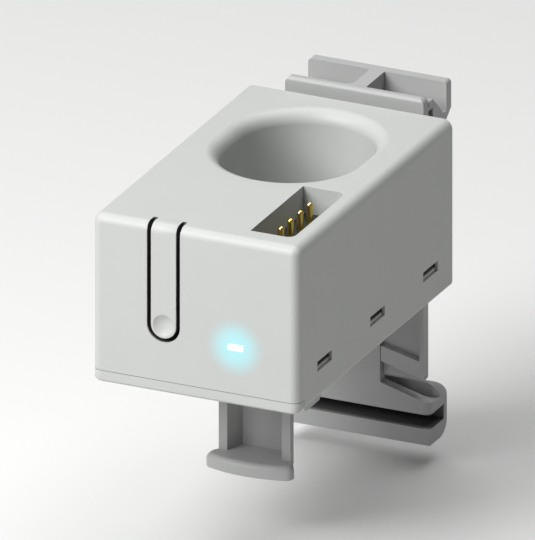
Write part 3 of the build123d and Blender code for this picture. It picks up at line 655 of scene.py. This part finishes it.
class SENSOR_OT_connector(bpy.types.Operator):
    """Makes the connector's pins and the block that holds them"""
    bl_idname = "sensor.connector"
    bl_label = "Connector"

    def execute(self, context):
        small = context.scene.sensor_small
        block = filled_resin("header black", colour=(0.022, 0.022, 0.021), roughness=0.5)
        softened("header_block", "header", block, HEADER_EDGE, "housing")
        gold = metal("gilt pin", colour=(0.74, 0.57, 0.16), roughness=0.17, patch=0.25 * MM)
        boxes = loose_boxes("header_pins")
        low, high = boxes[0]
        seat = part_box("header_block")[1].z
        pins = grown("pins", pin_tree(), {
            "Count": len(boxes), "Pitch": boxes[1][0].y - low.y, "Radius": (high.x - low.x) / 2,
            "Length": high.z - seat, "Tip": small.pin_tip, "Rings": small.pin_rings,
            "Tail length": seat - low.z, "Material": gold},
            ((low.x + high.x) / 2, (low.y + high.y) / 2, seat))
        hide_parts("header_pins")
        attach(pins, "housing")
        return {"FINISHED"}


class SENSOR_OT_spring(bpy.types.Operator):
    """Makes the latch's coil spring. On the real sensor it shortens as the latch is pulled; here it keeps one
    length.
    """
    bl_idname = "sensor.spring"
    bl_label = "Latch spring"

    def execute(self, context):
        small = context.scene.sensor_small
        steel = metal("spring wire", colour=(0.62, 0.62, 0.63), roughness=0.3, patch=0.2 * MM)
        low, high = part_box("latch_spring")
        middle = (low + high) / 2
        wire = small.wire / 2
        spring = grown("spring", spring_tree(), {
            "Turns": float(small.spring_turns), "Radius": (high.x - low.x) / 2 - wire,
            "Height": high.z - low.z - 2 * wire, "Wire": wire, "End": 0.5, "Material": steel},
            (middle.x, middle.y, low.z + wire))
        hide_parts("latch_spring")
        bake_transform(spring)
        return {"FINISHED"}


class SENSOR_OT_board(bpy.types.Operator):
    """Finishes the circuit board and what is soldered on it"""
    bl_idname = "sensor.board"
    bl_label = "Circuit board"

    def execute(self, context):
        finished_node("circuit_board", board_resist())
        resin = filled_resin("chip resin", colour=(0.02, 0.02, 0.022), roughness=0.45)
        tin = metal("tinned lead", colour=(0.72, 0.72, 0.7), roughness=0.3, patch=0.1 * MM)
        for node in ("controller_chip", "line_driver_chip", "switch_body", "switch_plunger"):
            finished_node(node, resin)
        for node in ("chip_leads", "switch_feet"):
            finished_node(node, tin)
        ceramic = filled_resin("capacitor ceramic", colour=(0.42, 0.29, 0.16), roughness=0.4)
        finished_node("capacitors", ceramic)
        return {"FINISHED"}


class SENSOR_OT_core(bpy.types.Operator):
    """Finishes the magnetic core, its holder and the sensing element"""
    bl_idname = "sensor.core"
    bl_label = "Magnetic core"

    def execute(self, context):
        finished_node("magnetic_core", wound_strip(*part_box("magnetic_core")))
        dark = filled_resin("holder black", colour=(0.03, 0.03, 0.03), roughness=0.5)
        for node in ("core_holder", "hall_element"):
            finished_node(node, dark)
        wire = metal("tinned wire", colour=(0.72, 0.72, 0.7), roughness=0.3, patch=0.1 * MM)
        finished_node("hall_leads", wire)
        return {"FINISHED"}


class SENSOR_OT_stage(bpy.types.Operator):
    """Makes the floor, the light and the camera"""
    bl_idname = "sensor.stage"
    bl_label = "Stage"

    def execute(self, context):
        stage = context.scene.sensor_stage
        low, high = CAD_BOX
        make_floor(stage, low.z - LATCH_ROOM)
        make_light(context.scene, stage, (low + high) / 2)
        make_camera(context.scene, stage)
        context.scene.view_settings.view_transform = "Standard"
        return {"FINISHED"}


def make_floor(stage, level):
    """A wide pale floor, low enough for the latch to be pulled down over it."""
    reach = 6.0
    mesh = bpy.data.meshes.new("floor")
    corners = [(-reach, -reach, level), (reach, -reach, level), (reach, reach, level), (-reach, reach, level)]
    mesh.from_pydata(corners, [], [(0, 1, 2, 3)])
    material, tree, shader, place = blank_material("floor paint")
    cloud = noise(tree, place, size=60 * MM, detail=2)
    tree.links.new(mixed(tree, cloud, shade(stage.floor_colour, 0.99), shade(stage.floor_colour, 1.01)),
                   shader.inputs["Base Color"])
    shader.inputs["Roughness"].default_value = 0.8
    show("floor", mesh, material)


def make_area(scene, name, aim, direction, size, power):
    """A square soft light that shines on a point."""
    lamp = bpy.data.lights.new(name, "AREA")
    lamp.energy = power
    lamp.size = size
    light = bpy.data.objects.new(name, lamp)
    scene.collection.objects.link(light)
    toward = Vector(direction).normalized()
    light.location = aim + toward * LIGHT_AWAY
    light.rotation_mode = "QUATERNION"
    light.rotation_quaternion = toward.to_track_quat("Z", "Y")


def make_light(scene, stage, aim):
    """A large key light at the front left, a weaker one overhead and a faint, even surrounding."""
    world = bpy.data.worlds.new("studio")
    scene.world = world
    world.use_nodes = True
    backdrop = world.node_tree.nodes["Background"]
    backdrop.inputs["Color"].default_value = (1, 1, 1, 1)
    backdrop.inputs["Strength"].default_value = stage.fill
    make_area(scene, "key", aim, KEY_FROM, KEY_SIZE, stage.key)
    make_area(scene, "ceiling", aim, CEILING_FROM, CEILING_SIZE, stage.ceiling)


def make_camera(scene, stage):
    """The camera at the photograph's angle. It sees parallel, as the photograph does."""
    view = bpy.data.cameras.new("camera")
    view.type = "ORTHO"
    view.ortho_scale = stage.view_height
    view.dof.use_dof = False
    camera = bpy.data.objects.new("camera", view)
    scene.collection.objects.link(camera)
    turn, rise = stage.azimuth, stage.elevation
    back = Vector((sin(turn) * cos(rise), -cos(turn) * cos(rise), sin(rise)))
    away = 4 * stage.view_height
    camera.location = VIEW_AIM + back * away
    camera.rotation_mode = "QUATERNION"
    camera.rotation_quaternion = back.to_track_quat("Z", "Y")
    view.clip_start = away / 100
    view.clip_end = away * 100
    scene.camera = camera


class SENSOR_PT_panel(bpy.types.Panel):
    """The sensor's settings and pieces"""
    bl_idname = "SENSOR_PT_panel"
    bl_label = "Current sensor"
    bl_space_type = "VIEW_3D"
    bl_region_type = "UI"
    bl_category = "Sensor"

    def draw(self, context):
        for group in (context.scene.sensor_plastic, context.scene.sensor_lamp, context.scene.sensor_small,
                      context.scene.sensor_stage):
            box = self.layout.box()
            for prop in group.bl_rna.properties:
                if prop.identifier not in ("rna_type", "name"):
                    box.prop(group, prop.identifier)
        for operator in OPERATORS:
            self.layout.operator(operator.bl_idname)


GROUPS = {"sensor_plastic": SensorPlastic, "sensor_lamp": SensorLamp, "sensor_small": SensorSmallParts,
          "sensor_stage": SensorStage}
OPERATORS = (SENSOR_OT_housing, SENSOR_OT_clip, SENSOR_OT_lamp, SENSOR_OT_connector, SENSOR_OT_spring,
             SENSOR_OT_board, SENSOR_OT_core, SENSOR_OT_stage)


def register():
    """Adds the settings, the operators and the panel to Blender."""
    for name, group in GROUPS.items():
        bpy.utils.register_class(group)
        setattr(bpy.types.Scene, name, bpy.props.PointerProperty(type=group))
    for kind in (*OPERATORS, SENSOR_PT_panel):
        bpy.utils.register_class(kind)


def unregister():
    """Takes them out again."""
    for kind in (SENSOR_PT_panel, *reversed(OPERATORS)):
        bpy.utils.unregister_class(kind)
    for name, group in GROUPS.items():
        delattr(bpy.types.Scene, name)
        bpy.utils.unregister_class(group)


def main():
    """Makes every piece."""
    register()
    bpy.ops.sensor.housing()
    bpy.ops.sensor.clip()
    bpy.ops.sensor.lamp()
    bpy.ops.sensor.connector()
    bpy.ops.sensor.spring()
    bpy.ops.sensor.board()
    bpy.ops.sensor.core()
    bpy.ops.sensor.stage()


if __name__ == "__main__":
    main()
